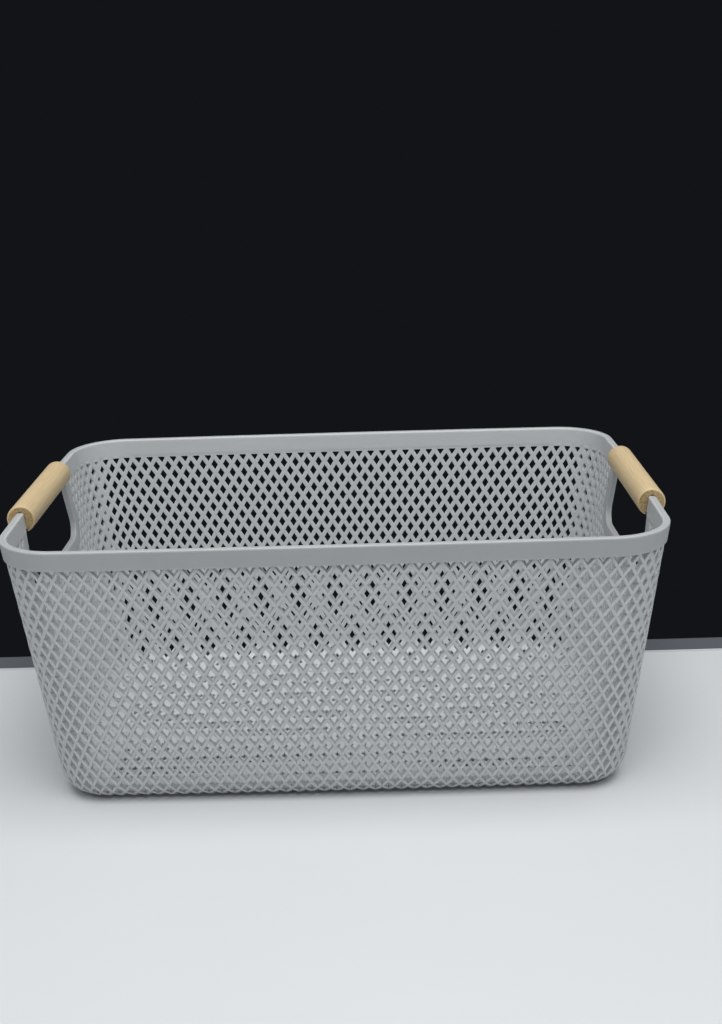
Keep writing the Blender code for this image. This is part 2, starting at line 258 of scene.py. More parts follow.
WALL_ACROSS = WALL_THICKNESS / math.cos(MEAN_DRAFT)
BAND_ACROSS = WALL_ACROSS + BAND_OVERHANG
BAND_BOTTOM = HEIGHT - BAND_HEIGHT
BASE_EDGE_REACH = BASE_EDGE_RADIUS * math.cos(MEAN_DRAFT)
BASE_EDGE_TOP = BASE_EDGE_RADIUS * (1 - math.sin(MEAN_DRAFT))


def wall_line(z):
    """Half length, half width and corner radius of the outer wall face at height z."""
    drop = HEIGHT - z
    share = drop / (HEIGHT - BASE_EDGE_TOP)
    half_x = RIM_LENGTH / 2 - BAND_OVERHANG - drop * math.tan(END_DRAFT)
    half_y = RIM_WIDTH / 2 - BAND_OVERHANG - drop * math.tan(SIDE_DRAFT)
    low_radius = FLOOR_CORNER_RADIUS + BASE_EDGE_REACH
    return half_x, half_y, (RIM_CORNER_RADIUS - BAND_OVERHANG) * (1 - share) + low_radius * share


def plan_lengths(z):
    """Half lengths of the straight stretches along X and Y at height z, and the corner radius."""
    half_x, half_y, radius = wall_line(z)
    return half_x - radius, half_y - radius, radius


def plan_point(z, along, offset):
    """Point of the wall's plan at a distance along it, counter-clockwise from the middle of the front.

    offset is measured inwards from the outer face, square to it.
    """
    flat_x, flat_y, radius = plan_lengths(z)
    bend = radius * math.pi / 2
    half_around = 2 * (flat_x + bend + flat_y)
    turn = math.floor(along / half_around)
    rest = along - turn * half_around
    side = 1 if turn % 2 == 0 else -1
    front = 1 if rest <= half_around / 2 else -1  # the back is the front's mirror image
    rest = min(rest, half_around - rest)
    if rest <= flat_x:
        x = rest
        y = -(flat_y + radius - offset + SIDE_BOW * (1 - (x / flat_x) ** 2))
    elif rest <= flat_x + bend:
        angle = (rest - flat_x) / radius - math.pi / 2
        x = flat_x + (radius - offset) * math.cos(angle)
        y = -flat_y + (radius - offset) * math.sin(angle)
    else:
        y = rest - flat_x - bend - flat_y
        x = flat_x + radius - offset + END_BOW * (1 - (y / flat_y) ** 2)
    return Vector((side * x, side * front * y, z))


rim_flat_x, rim_flat_y, rim_radius = plan_lengths(HEIGHT)
RIM_PERIMETER = 4 * (rim_flat_x + rim_flat_y) + 2 * math.pi * rim_radius
print("perimeter under the rim, mm:", round(RIM_PERIMETER * 1000, 1))

# %% [markdown]
# ## The diamond mesh, flat first
#
# About 3800 openings stand in rows round the basket, each row half a column off the one above, and the
# same 142 columns run on round the corners and under the foot. Cutting them from a solid would be slow
# and would leave ragged edges. Instead one diamond cell is drawn on a flat lattice, in columns across
# and half rows down, and Geometry Nodes repeat it and wrap the flat pattern on the wall.
#
# A cell is a set of nested rings from the tile's edge on the outside, over the crowned rib and down
# into a recess, across its shelf and through the smaller inner opening, to the tile's edge on the
# inside. A depth of 0 is the outer face and 1 is the inner face. The top row is cut straight by the
# band, and the last row by the foot.

# %% Rows and columns of the mesh
COLUMNS = 142
COLUMN_PITCH = 0.0088
HALF_ROW = 0.00642
FIRST_ROW_SLANT = 0.01413
FRONT_MIDDLE_COLUMN = 0.45
BACK_MIDDLE_COLUMN = 71.59
FRONT_ROW_RISE = 0.0014
PITCH_LOSS = 0.0055  # how much narrower a column gets for each metre down the slope
COLUMN_TAPER = PITCH_LOSS / COLUMN_PITCH

SLANT_OF_WALL = (HEIGHT - BASE_EDGE_TOP) / math.cos(SIDE_DRAFT)
BEND_LENGTH = BASE_EDGE_RADIUS * (math.pi / 2 - MEAN_DRAFT)
BAND_ROW = (BAND_HEIGHT / math.cos(SIDE_DRAFT) - FIRST_ROW_SLANT) / HALF_ROW
FOOT_ROW = (SLANT_OF_WALL + BEND_LENGTH - FIRST_ROW_SLANT) / HALF_ROW
BEND_ROW = (SLANT_OF_WALL - FIRST_ROW_SLANT) / HALF_ROW
LAST_ROW = math.ceil(FOOT_ROW)
FLOOR_MARGIN = 0.0105
LIP_ROW = FOOT_ROW + FLOOR_MARGIN / HALF_ROW
print("rows: band", round(BAND_ROW, 2), "bend", round(BEND_ROW, 2), "foot", round(FOOT_ROW, 2),
      "last", LAST_ROW)

# %% [markdown]
# ## A guide surface
#
# The guide is a fine grid over the wall with the lattice as its UV map. Each of its points also holds
# the step to the inner face. Sampling it by UV turns a flat lattice place into a place on the wall.
# The search behind that sampling wants UVs between 0 and 1, so the lattice is shrunk to fit. On the
# long walls the columns keep their own pitch, and round the ends they share out what is left. The rows
# stand a little higher at the front than at the back.

# %% Guide surface for the walls
GUIDE_MARGIN = 2
GUIDE_ROWS_ABOVE = 1
INNER_TUCK = 0.00004  # keeps the mesh's inner face off the band's
UV_SHARE = 1 / 160
UV_START = 4 * UV_SHARE


def wall_place(column, row):
    """Outer and inner wall points at a lattice place."""
    columns_to_bend = rim_flat_x / COLUMN_PITCH
    from_front = abs((column - FRONT_MIDDLE_COLUMN + COLUMNS / 2) % COLUMNS - COLUMNS / 2)
    to_front = float(np.interp(from_front, [columns_to_bend, COLUMNS / 2 - columns_to_bend], [1, 0]))
    slant = FIRST_ROW_SLANT + row * HALF_ROW - FRONT_ROW_RISE * to_front * (1 - row / FOOT_ROW)
    plan_z = max(BASE_EDGE_TOP, HEIGHT - slant * math.cos(SIDE_DRAFT))
    flat_x, flat_y, radius = plan_lengths(plan_z)
    around = 4 * (flat_x + flat_y) + 2 * math.pi * radius
    half = rim_flat_x * (1 - COLUMN_TAPER * min(slant, SLANT_OF_WALL))
    middles = ((BACK_MIDDLE_COLUMN - COLUMNS, -around / 2), (FRONT_MIDDLE_COLUMN, 0),
               (BACK_MIDDLE_COLUMN, around / 2), (FRONT_MIDDLE_COLUMN + COLUMNS, around))
    marks = [middle + side * columns_to_bend for middle, _ in middles for side in (-1, 1)]
    places = [middle + side * half for _, middle in middles for side in (-1, 1)]
    along = float(np.interp(column, marks, places))
    if slant <= SLANT_OF_WALL:
        tuck = INNER_TUCK if row < BAND_ROW else 0
        return plan_point(plan_z, along, 0), plan_point(plan_z, along, WALL_ACROSS - tuck)
    angle = math.pi + MEAN_DRAFT + (slant - SLANT_OF_WALL) / BASE_EDGE_RADIUS
    if angle < 1.5 * math.pi:
        points = []
        for size in (BASE_EDGE_RADIUS, BASE_EDGE_RADIUS - WALL_THICKNESS):
            point = plan_point(plan_z, along, BASE_EDGE_REACH + size * math.cos(angle))
            point.z = BASE_EDGE_RADIUS + size * math.sin(angle)
            points.append(point)
        return points
    reach = BASE_EDGE_REACH + slant - SLANT_OF_WALL - BEND_LENGTH
    outer = plan_point(plan_z, along, reach)
    outer.z = 0
    return outer, outer + Vector((0, 0, WALL_THICKNESS))


def make_guide(name, place, columns, rows, steps):
    """Grid mesh whose UV map is the lattice and whose points hold the step to the inner face."""
    across = np.linspace(*columns, (columns[1] - columns[0]) * steps + 1)
    down = np.linspace(*rows, (rows[1] - rows[0]) * steps + 1)
    pairs = [place(float(u), float(v)) for v in down for u in across]
    width = len(across)
    faces = [(k * width + m, (k + 1) * width + m, (k + 1) * width + m + 1, k * width + m + 1)
             for k in range(len(down) - 1) for m in range(width - 1)]
    mesh = bpy.data.meshes.new(name)
    mesh.from_pydata([outer for outer, _ in pairs], [], faces)
    step = mesh.attributes.new("step_inwards", "FLOAT_VECTOR", "POINT")
    step.data.foreach_set("vector", np.array([inner - outer for outer, inner in pairs]).ravel())
    lattice = mesh.uv_layers.new(name="lattice")
    corner_uv = [(across[v % width], down[v // width]) for face in faces for v in face]
    lattice.data.foreach_set("uv", (np.array(corner_uv) * UV_SHARE + UV_START).ravel())
    return add_object(name, mesh)


wall_guide = make_guide("wall_guide", wall_place, (-GUIDE_MARGIN, COLUMNS + GUIDE_MARGIN),
                        (-GUIDE_ROWS_ABOVE, LAST_ROW + GUIDE_MARGIN), steps=4)
print("guide points:", len(wall_guide.data.vertices))

# %% [markdown]
# ## Cells
#
# Each kind of cell is a small open mesh of nested rings, drawn as if its openings filled the tile. The
# ring points carry a weight that tells the tree which of two named sizes scales them: the outer opening
# or the inner one. Cells on the bend get extra points halfway along their sides, so that the ribs curve
# with it. All depths are shares of the wall's thickness, and all cuts are in half rows.

# %% Draw the kinds of cell
OUTER_OPENING = 0.77
INNER_OPENING = 0.62
INNER_NARROWING = 0.95
RECESS_SHARE = 0.92
RECESS_DEPTH = 0.48
SHELF_DROP = 0.04
RIB_CROWN = 0.05
INNER_CUT = 0.12
FOOT_CUT = 0.30
TOP_CUT = -BAND_ROW
TOP_LIP = 0.03
DIAMOND = [(-1, 0), (0, 1), (1, 0), (0, -1)]
TOP, PLAIN, TURNING, BENT, FOOT = range(5)


def halved(outline, sides):
    """The outline with a point added halfway along the named sides."""
    points = []
    for k, here in enumerate(outline):
        points.append(here)
        if k in sides:
            there = outline[(k + 1) % len(outline)]
            points.append(((here[0] + there[0]) / 2, (here[1] + there[1]) / 2))
    return points


def bridge(bm, here, there):
    """Faces between two loops with as many points."""
    for k in range(len(here)):
        after = (k + 1) % len(here)
        bm.faces.new((here[k], here[after], there[after], there[k]))


def add_cell(collection, name, rings):
    """Mesh of nested rings. A ring is its points as (across, down), its depth and its scale weights."""
    bm = bmesh.new()
    outer_weight = bm.verts.layers.float.new("outer_weight")
    inner_weight = bm.verts.layers.float.new("inner_weight")
    loops = []
    for points, depth, outer, inner in rings:
        loop = []
        for u, v in points:
            vert = bm.verts.new((u / 2, v, depth))
            vert[outer_weight] = outer
            vert[inner_weight] = inner
            loop.append(vert)
        loops.append(loop)
    for here, there in zip(loops, loops[1:]):
        bridge(bm, here, there)
    mesh = bpy.data.meshes.new(name)
    bm.to_mesh(mesh)
    bm.free()
    collection.objects.link(bpy.data.objects.new(name, mesh))


def nested(tile, mouth, recess, inner):
    """The rings of a cell, from the tile's edge on the outer face to its edge on the inner one."""
    inner = [(u * INNER_NARROWING, v) for u, v in inner]
    return [(tile, 0, 0, 0), (mouth, RIB_CROWN, 1, 0), (recess, RECESS_DEPTH, 1, 0),
            (inner, RECESS_DEPTH + SHELF_DROP, 0, 1), (inner, 1, 0, 1), (tile, 1, 0, 0)]


def full_rings(outline):
    return nested(outline, outline, [(u * RECESS_SHARE, v * RECESS_SHARE) for u, v in outline], outline)


def cut_rings(split, cut, flat_cut):
    """Rings of a cell whose point is cut off straight: by the band at the top, or turned over at the foot.

    cut is where the outer opening ends and flat_cut where the tile ends, measured from its middle.
    """
    tile = [(-1, 0), (0, 1), (1, 0), (1, -flat_cut), (-1, -flat_cut)]

    def opening(size, edge):
        reach = size - edge
        return [(-size, 0), (0, size), (size, 0), (reach, -edge), (-reach, -edge)]

    rings = nested(tile, opening(1, cut / OUTER_OPENING),
                   opening(RECESS_SHARE, cut / OUTER_OPENING * RECESS_SHARE),
                   opening(1, INNER_CUT / INNER_OPENING))
    return [(halved(points, split), depth, outer, inner) for points, depth, outer, inner in rings]


cells = bpy.data.collections.new("cells")
top_rings = cut_rings((), TOP_CUT, TOP_CUT + TOP_LIP)
foot_rings = [([(u, -v) for u, v in reversed(points)], depth, outer, inner)
              for points, depth, outer, inner in cut_rings((0, 1), FOOT_CUT, LIP_ROW - LAST_ROW)]
add_cell(cells, "cell_0_top", top_rings)
add_cell(cells, "cell_1_plain", full_rings(DIAMOND))
add_cell(cells, "cell_2_turning", full_rings(halved(DIAMOND, (0, 1))))
add_cell(cells, "cell_3_bent", full_rings(halved(DIAMOND, (0, 1, 2, 3))))
add_cell(cells, "cell_4_foot", foot_rings)

# %% [markdown]
# ## Geometry Nodes: repeat and wrap
#
# The tree puts a cell on every lattice point, scales the rings of the openings about the cell's middle,
# samples the guide at each vertex, and moves the vertex there and then inwards by its depth. Joined
# edges are merged, so neighbouring cells share their points. The same could be done with loops in
# Python, but the tree can be opened, and its openings changed by hand.

# %% Build the tree


def make_mesh_tree():
    tree = bpy.data.node_groups.new("wrap_diamond_mesh", "GeometryNodeTree")
    for name, kind in (("Lattice points", "Geometry"), ("Cells", "Collection"), ("Guide", "Object"),
                       ("Outer opening", "Float"), ("Inner opening", "Float"), ("Finish", "Material"),
                       ("Wall thickness share", "Float"), ("Merge distance", "Float")):
        tree.interface.new_socket(name, in_out="INPUT", socket_type="NodeSocket" + kind)
    tree.interface.new_socket("Mesh", in_out="OUTPUT", socket_type="NodeSocketGeometry")
    given = add_node(tree, "NodeGroupInput").outputs

    def first(kind, inputs=None, **settings):
        """The first output of a new node."""
        return add_node(tree, kind, inputs, **settings).outputs[0]

    def vector_math(operation, inputs):
        return first("ShaderNodeVectorMath", inputs, operation=operation)

    def number_math(operation, inputs):
        return first("ShaderNodeMath", inputs, operation=operation)

    def named(name, kind="FLOAT_VECTOR"):
        return first("GeometryNodeInputNamedAttribute", {"Name": name}, data_type=kind)

    kinds = first("GeometryNodeCollectionInfo", {"Collection": given["Cells"], "Separate Children": True,
                                                 "Reset Children": True})
    placed = first("GeometryNodeInstanceOnPoints", {
        "Points": given["Lattice points"], "Instance": kinds, "Pick Instance": True,
        "Instance Index": named("kind", "INT")})
    real = first("GeometryNodeRealizeInstances", {"Geometry": placed})

    flat = first("GeometryNodeInputPosition")
    from_middle = vector_math("SUBTRACT", {0: flat, 1: named("middle")})
    outer_share, inner_share = named("outer_share", "FLOAT"), named("inner_share", "FLOAT")
    outer_less = number_math("MULTIPLY_ADD", {0: given["Outer opening"], 1: outer_share, 2: -1.0})
    inner_less = number_math("MULTIPLY_ADD", {0: given["Inner opening"], 1: inner_share, 2: -1.0})
    outer_part = number_math("MULTIPLY", {0: outer_less, 1: named("outer_weight", "FLOAT")})
    size = number_math("MULTIPLY_ADD", {0: inner_less, 1: named("inner_weight", "FLOAT"), 2: outer_part})
    sideways = vector_math("MULTIPLY", {0: from_middle, 1: (1, 1, 0)})
    scaled = vector_math("ADD", {0: flat, 1: vector_math("SCALE", {"Vector": sideways, "Scale": size})})
    spot = vector_math("MULTIPLY_ADD", {0: scaled, 1: (UV_SHARE, UV_SHARE, 0), 2: (UV_START, UV_START, 0)})
    guide = add_node(tree, "GeometryNodeObjectInfo", {"Object": given["Guide"]}).outputs["Geometry"]
    guide_uv = named("lattice")

    def sampled(value):
        """The guide's value at the vertex's place in the lattice."""
        return first("GeometryNodeSampleUVSurface", {
            "Mesh": guide, "Value": value, "UV Map": guide_uv, "Sample UV": spot}, data_type="FLOAT_VECTOR")

    face = sampled(first("GeometryNodeInputPosition"))
    height = add_node(tree, "ShaderNodeSeparateXYZ", {"Vector": flat}).outputs["Z"]
    depth = number_math("MULTIPLY", {0: height, 1: given["Wall thickness share"]})
    inwards = vector_math("SCALE", {"Vector": sampled(named("step_inwards")), "Scale": depth})
    on_wall = vector_math("ADD", {0: face, 1: inwards})
    kept = first("GeometryNodeStoreNamedAttribute", {
        "Geometry": real, "Name": "lattice_place", "Value": flat}, data_type="FLOAT_VECTOR", domain="POINT")
    moved = first("GeometryNodeSetPosition", {"Geometry": kept, "Position": on_wall})
    merged = first("GeometryNodeMergeByDistance", {"Geometry": moved, "Distance": given["Merge distance"]})
    whole = first("GeometryNodeRealizeInstances", {"Geometry": merged})
    finished = first("GeometryNodeSetMaterial", {"Geometry": whole, "Material": given["Finish"]})
    add_node(tree, "NodeGroupOutput", {"Mesh": finished})
    return tree


mesh_tree = make_mesh_tree()
print("tree nodes:", len(mesh_tree.nodes))

# %% [markdown]
# ## Run the tree
#
# A tree runs as a modifier. Its result is copied out as a plain mesh and the modifier is removed, so
# that the finished piece depends on nothing else. The points that feed it are the flat lattice itself,
# and everything that differs from cell to cell is written on them as attributes.

# %% Feed the tree and take its mesh


def tree_inputs(tree):
    """The identifier of each named input."""
    return {item.name: item.identifier for item in tree.interface.items_tree if item.in_out == "INPUT"}


def apply_tree(points_object, tree, values):
    """Runs the tree on an object with named inputs, and gives the result as a plain mesh."""
    modifier = points_object.modifiers.new("repeat", "NODES")
    modifier.node_group = tree
    sockets = tree_inputs(tree)
    for name, value in values.items():
        modifier[sockets[name]] = value
    graph = bpy.context.evaluated_depsgraph_get()
    mesh = bpy.data.meshes.new_from_object(points_object.evaluated_get(graph), depsgraph=graph)
    points_object.modifiers.remove(modifier)
    return mesh


def lattice_points(name, spots):
    """Points at lattice places, each with its kind of cell, its shares of the openings and its middle."""
    mesh = bpy.data.meshes.new(name)
    places = [(column, row, 0.0) for column, row, *_ in spots]
    mesh.from_pydata(places, [], [])
    mesh.attributes.new("kind", "INT", "POINT").data.foreach_set("value", [spot[2] for spot in spots])
    for k, share in ((3, "outer_share"), (4, "inner_share")):
        mesh.attributes.new(share, "FLOAT", "POINT").data.foreach_set("value", [spot[k] for spot in spots])
    middle = mesh.attributes.new("middle", "FLOAT_VECTOR", "POINT")
    middle.data.foreach_set("vector", np.array(places).ravel())
    return add_object(name, mesh)


print("inputs of the tree:", ", ".join(tree_inputs(mesh_tree)))

# %% [markdown]
# ## Hand holes
#
# Each end wall has a hole for a hand below the rim, wider at the bottom and rounded there. Its outline
# could be drawn by hand. Here it is worked out from a few sizes, because the same line, grown outwards,
# also gives the border round the hole and says which cells of the mesh are left out.

# %% Outline of a hand hole
HAND_HOLE_SIDE_MARGIN = 0.0375
HAND_HOLE_FLARE = 0.0058
HAND_HOLE_DROP = 0.052
HAND_HOLE_CORNER_RADIUS = 0.011
STRIP_HEIGHT = 0.010
HOLE_BORDER = 0.009
HAND_HOLE_TOP = HEIGHT - STRIP_HEIGHT
HAND_HOLE_BOTTOM = HEIGHT - HAND_HOLE_DROP
HOLE_HALF_TOP = plan_lengths(HAND_HOLE_TOP)[1] - HAND_HOLE_SIDE_MARGIN
HOLE_HALF_LOW = HOLE_HALF_TOP + HAND_HOLE_FLARE
HOLE_CORNER_STEPS, HOLE_SIDE_STEPS, HOLE_LOW_STEPS = 12, 6, 8


def arc(centre, radius, start, end, steps):
    """Points of a circular arc, with angles in degrees."""
    angles = [math.radians(start + (end - start) * k / steps) for k in range(steps + 1)]
    return [(centre[0] + radius * math.cos(a), centre[1] + radius * math.sin(a)) for a in angles]


def hole_line(grow, top):
    """Line of (y, z) down one side of the hole, under it and up the other, grown outwards."""
    radius = HAND_HOLE_CORNER_RADIUS
    centre = (HOLE_HALF_LOW - radius, HAND_HOLE_BOTTOM + radius)
    half = arc(centre, radius + grow, -90, 0, HOLE_CORNER_STEPS)
    slope = (HOLE_HALF_TOP - HOLE_HALF_LOW) / (HAND_HOLE_TOP - centre[1])
    for k in range(1, HOLE_SIDE_STEPS + 1):
        rise = (top - centre[1]) * k / HOLE_SIDE_STEPS
        half.append((HOLE_HALF_LOW + grow + slope * rise, centre[1] + rise))
    middle = [(centre[0] * k / HOLE_LOW_STEPS, HAND_HOLE_BOTTOM - grow)
              for k in range(1 - HOLE_LOW_STEPS, HOLE_LOW_STEPS)]
    return [(-y, z) for y, z in reversed(half)] + middle + half


print("hand hole, mm:", round(2000 * HOLE_HALF_TOP, 1), "at the top,", round(2000 * HOLE_HALF_LOW, 1), "low")

# %% [markdown]
# ## Wrap the walls
#
# In the photograph the openings shrink along a line down each corner, probably where parts of the mould
# met, and in the rounded foot they are half closed on the inside. Such cells could be drawn one by one.
# It is simpler to give each lattice point two shares, of the outer and the inner opening, and let the
# tree scale its rings. Cells wholly hidden by a hand hole or its border get no point.

# %% Choose the cells and wrap the walls
CORNER_ANGLES = [36, 43, 50, 78, 90]
CORNER_OPENING_SHARES = [1, 0.5, 1, 0.9, 1]
FOOT_INNER_SHARE = 0.5
MERGE_DISTANCE = 0.00002


def inside(outline, y, z):
    """Whether a point is inside a closed outline of (y, z) points."""
    hit = False
    for (y1, z1), (y2, z2) in zip(outline, outline[1:] + outline[:1]):
        if (z1 > z) != (z2 > z) and y < (y2 - y1) * (z - z1) / (z2 - z1) + y1:
            hit = not hit
    return hit


border_line = hole_line(HOLE_BORDER, BAND_BOTTOM)
border_outline = border_line + [(border_line[-1][0], HEIGHT), (border_line[0][0], HEIGHT)]


def covered(column, row):
    """Whether the border or the hole hides a whole cell."""
    for du, dv in ((0, 0), (-0.5, 0), (0.5, 0), (0, -1), (0, 1)):
        point, _ = wall_place(column + du, max(row + dv, BAND_ROW))
        if abs(point.x) < rim_flat_x or not inside(border_outline, point.y, point.z):
            return False
    return True


def opening_shares(column, row):
    """How much of its full openings a cell has, outside and inside.

    Both dip along a line in each corner, and the foot's cells are half closed inside.
    """
    point, _ = wall_place(column, row)
    flat_x, flat_y, _ = plan_lengths(max(BASE_EDGE_TOP, point.z))
    angle = math.degrees(math.atan2(max(0, abs(point.x) - flat_x), max(0, abs(point.y) - flat_y)))
    corner = float(np.interp(angle, CORNER_ANGLES, CORNER_OPENING_SHARES))
    return corner, corner * float(np.interp(row, (BEND_ROW, FOOT_ROW), (1, FOOT_INNER_SHARE)))


def kind_of(row):
    """Which cell a row has: cut by the band, plain, turning into the bend, bent, or cut by the foot."""
    first_bent = math.ceil(BEND_ROW)
    if row in (0, LAST_ROW):
        return FOOT if row else TOP
    return PLAIN if row < first_bent - 1 else TURNING if row < first_bent else BENT


def wall_spots():
    """Every cell of the walls: column, row, kind and the shares of its two openings."""
    places = [(m + 0.5 * (row % 2), row) for row in range(LAST_ROW + 1) for m in range(COLUMNS)]
    return [(column, row, kind_of(row), *opening_shares(column, row)) for column, row in places
            if not covered(column, row)]


wall_cells = wall_spots()
wall_points = lattice_points("wall_lattice_points", wall_cells)
# The mesh's finish is the lighter copy of the plastic, painted light for the light that the ribs catch.
mesh_sizes = {"Cells": cells, "Outer opening": OUTER_OPENING, "Inner opening": INNER_OPENING,
              "Wall thickness share": 1.0, "Merge distance": MERGE_DISTANCE, "Finish": painted_light_polypropylene}
wall_mesh = apply_tree(wall_points, mesh_tree, {"Guide": wall_guide, **mesh_sizes})
print("wall cells:", len(wall_cells), "points:", len(wall_mesh.vertices), "faces:", len(wall_mesh.polygons))

# %% [markdown]
# ## Clean up the wrapped mesh
#
# Two things are left. Cells that reach into a hand hole are pulled back until their edge lies inside
# the border strip. A Boolean cut would do that too, but it leaves slivers. The open edges, where the
# mesh stops, are closed from the outer to the inner face, so that the piece is solid like the moulding.

# %% Pull back, close and smooth
SNAP_INSIDE_BORDER = 0.0045
SHARP_FROM = math.radians(40)
END_WALL_FROM_X = rim_flat_x - 0.01
HOLE_FROM_Z = HAND_HOLE_BOTTOM - 0.02


def end_x(z, y, offset):
    """X of an end wall at height z and place y, with offset measured inwards from its outer face."""
    flat_x, flat_y, radius = plan_lengths(z)
    return flat_x + radius - offset + END_BOW * (1 - (y / flat_y) ** 2)


def nearest_on(line, point):
    """The place on a line of (y, z) points that is nearest to a point."""
    spots = []
    for a, b in zip(line, line[1:]):
        a, b = Vector(a), Vector(b)
        _, share = intersect_point_line(point.to_3d(), a.to_3d(), b.to_3d())
        spots.append(a.lerp(b, min(1, max(0, share))))
    return min(spots, key=lambda spot: (spot - point).length)


def pull_back(bm):
    """Moves the points that lie in a hand hole on to a line inside its border."""
    line = hole_line(SNAP_INSIDE_BORDER, HEIGHT)
    moved = 0
    for vert in bm.verts:
        x, y, z = vert.co
        if abs(x) < END_WALL_FROM_X or z < HOLE_FROM_Z or not inside(line, y, z):
            continue
        offset = end_x(z, y, 0) - abs(x)
        spot = nearest_on(line, Vector((y, z)))
        vert.co = Vector((math.copysign(end_x(spot.y, spot.x, offset), x), spot.x, spot.y))
        moved += 1
    return moved


def close_edges(bm):
    """Closes each open edge of the outer face to the one straight behind it on the inner face."""
    open_edges = [edge for edge in bm.edges if edge.is_boundary]
    place = bm.verts.layers.float_vector["lattice_place"]

    def on_inner_face(vert):
        return vert[place].z > 0.5

    inner = sorted({v for edge in open_edges for v in edge.verts if on_inner_face(v)}, key=lambda v: v.index)
    tree = KDTree(len(inner))
    for k, vert in enumerate(inner):
        tree.insert(vert.co, k)
    tree.balance()
    partners = {}
    for edge in open_edges:
        for vert in edge.verts:
            if not on_inner_face(vert):
                partners[vert] = inner[tree.find(vert.co)[1]]
    outer_edges = [edge for edge in open_edges if not on_inner_face(edge.verts[0])]
    for edge in outer_edges:
        loop = edge.link_loops[0]
        start, end = loop.vert, loop.link_loop_next.vert
        bm.faces.new((end, start, partners[start], partners[end]))
    return len(outer_edges)


def finish_mesh_piece(name, mesh):
    """Pulls back, closes and smooths a wrapped mesh, and makes it a piece."""
    bm = bmesh.new()
    bm.from_mesh(mesh)
    moved = pull_back(bm)
    closed = close_edges(bm)
    left_open = sum(edge.is_boundary for edge in bm.edges)
    bm.to_mesh(mesh)
    bm.free()
    mesh.name = name
    mesh.shade_smooth()
    mesh.set_sharp_from_angle(angle=SHARP_FROM)
    print(name, "moved", moved, "closed", closed, "still open", left_open)
    return add_object(name, mesh)


mesh_shell = finish_mesh_piece("mesh_shell", wall_mesh)

# %% [markdown]
# ## Mesh floor
#
# The floor has the same pattern, laid out straight, with smaller openings, and the margin of the foot
# cuts it off. The same tree makes it from a flat guide, which saves a second way of drawing cells. It
# is a little thinner than the margin, so that its cut cells end inside it.

# %% Floor mesh
FLOOR_TUCK = 0.00015
FLOOR_OPENINGS = {"Outer opening": 0.68, "Inner opening": 0.48}
base_half_x, base_half_y, _ = wall_line(BASE_EDGE_TOP)
FLOOR_HALF_X = base_half_x - BASE_EDGE_REACH - FLOOR_MARGIN
FLOOR_HALF_Y = base_half_y - BASE_EDGE_REACH - FLOOR_MARGIN
FLOOR_COLUMNS = round(2 * FLOOR_HALF_X / COLUMN_PITCH)
FLOOR_ROWS = round(2 * FLOOR_HALF_Y / HALF_ROW)


def floor_place(column, row):
    x = (column / FLOOR_COLUMNS * 2 - 1) * FLOOR_HALF_X
    y = (1 - row / FLOOR_ROWS * 2) * FLOOR_HALF_Y
    return Vector((x, y, FLOOR_TUCK)), Vector((x, y, WALL_THICKNESS - FLOOR_TUCK))


floor_guide = make_guide("floor_guide", floor_place, (-GUIDE_MARGIN, FLOOR_COLUMNS + GUIDE_MARGIN),
                         (-GUIDE_MARGIN, FLOOR_ROWS + GUIDE_MARGIN), steps=1)
floor_cells = [(m + 0.5 * (row % 2), row, PLAIN, 1.0, 1.0) for row in range(FLOOR_ROWS + 1)
               for m in range(FLOOR_COLUMNS + 1 - row % 2)]
floor_points = lattice_points("floor_lattice_points", floor_cells)
floor_mesh = apply_tree(floor_points, mesh_tree, {"Guide": floor_guide, **mesh_sizes, **FLOOR_OPENINGS})
floor_mesh.flip_normals()
mesh_floor_skin = finish_mesh_piece("open_floor", floor_mesh)
print("floor cells:", len(floor_cells))

# %% [markdown]
# ## Rim band
#
# The band is the smooth top of the moulding, a little proud of the walls, with soft top edges. Its inner
# face gets the lighter copy of the plastic, painted light as on the ribs. A bevelled curve could draw it,
# but over each hand hole its lower edge steps up, to leave the strip that holds the grip. So it is lofted:
# a section is carried round the plan, and each station along the way gives its own lower edge.

# %% Loft the rim band
BAND_EDGE_RADIUS = 0.0011
LOWER_EDGE_RADIUS = 0.0003
SUPPORT_STEP = 0.0004
STEP_LENGTH = 0.0006
STRETCH_STEPS = (10, 24, 24, 24, 10)  # half the front, a corner, an end, a corner and half the back
END_STRETCH = 2
HOLE_FROM, HOLE_TO = [(1 + side * HOLE_HALF_TOP / rim_flat_y) / 2 for side in (-1, 1)]
LOWER_EDGE_STEPS, TOP_EDGE_STEPS = 2, 5
FIRST_INNER_FACE = 12  # faces of the section from here on look inwards


def loft(sections, ring):
    """Skins a list of closed sections. A ring joins the last to the first, else the ends are capped."""
    bm = bmesh.new()
    loops = [[bm.verts.new(point) for point in section] for section in sections]
    pairs = list(zip(loops, loops[1:]))
    if ring:
        pairs.append((loops[-1], loops[0]))
    else:
        bm.faces.new(loops[0])
        bm.faces.new(reversed(loops[-1]))
    for here, there in pairs:
        bridge(bm, here, there)
    return bm


def add_piece(name, bm, material):
    """Makes a piece with one finish of a bmesh."""
    bmesh.ops.recalc_face_normals(bm, faces=bm.faces)
    mesh = bpy.data.meshes.new(name)
    bm.to_mesh(mesh)
    bm.free()
    mesh.materials.append(material)
    mesh.shade_smooth()
    mesh.set_sharp_from_angle(angle=SHARP_FROM)
    return add_object(name, mesh)


def band_stations():
    """Stations round the plan: which half, which stretch of it, and the share of the stretch."""
    step = STEP_LENGTH / (2 * rim_flat_y)
    stations = []
    for turn in (0, 1):
        for stretch, count in enumerate(STRETCH_STEPS):
            shares = {k / count for k in range(count)}
            if stretch == END_STRETCH:
                shares |= {HOLE_FROM - step, HOLE_FROM, HOLE_TO, HOLE_TO + step}
            stations += [(turn, stretch, share) for share in sorted(shares)]
    return stations


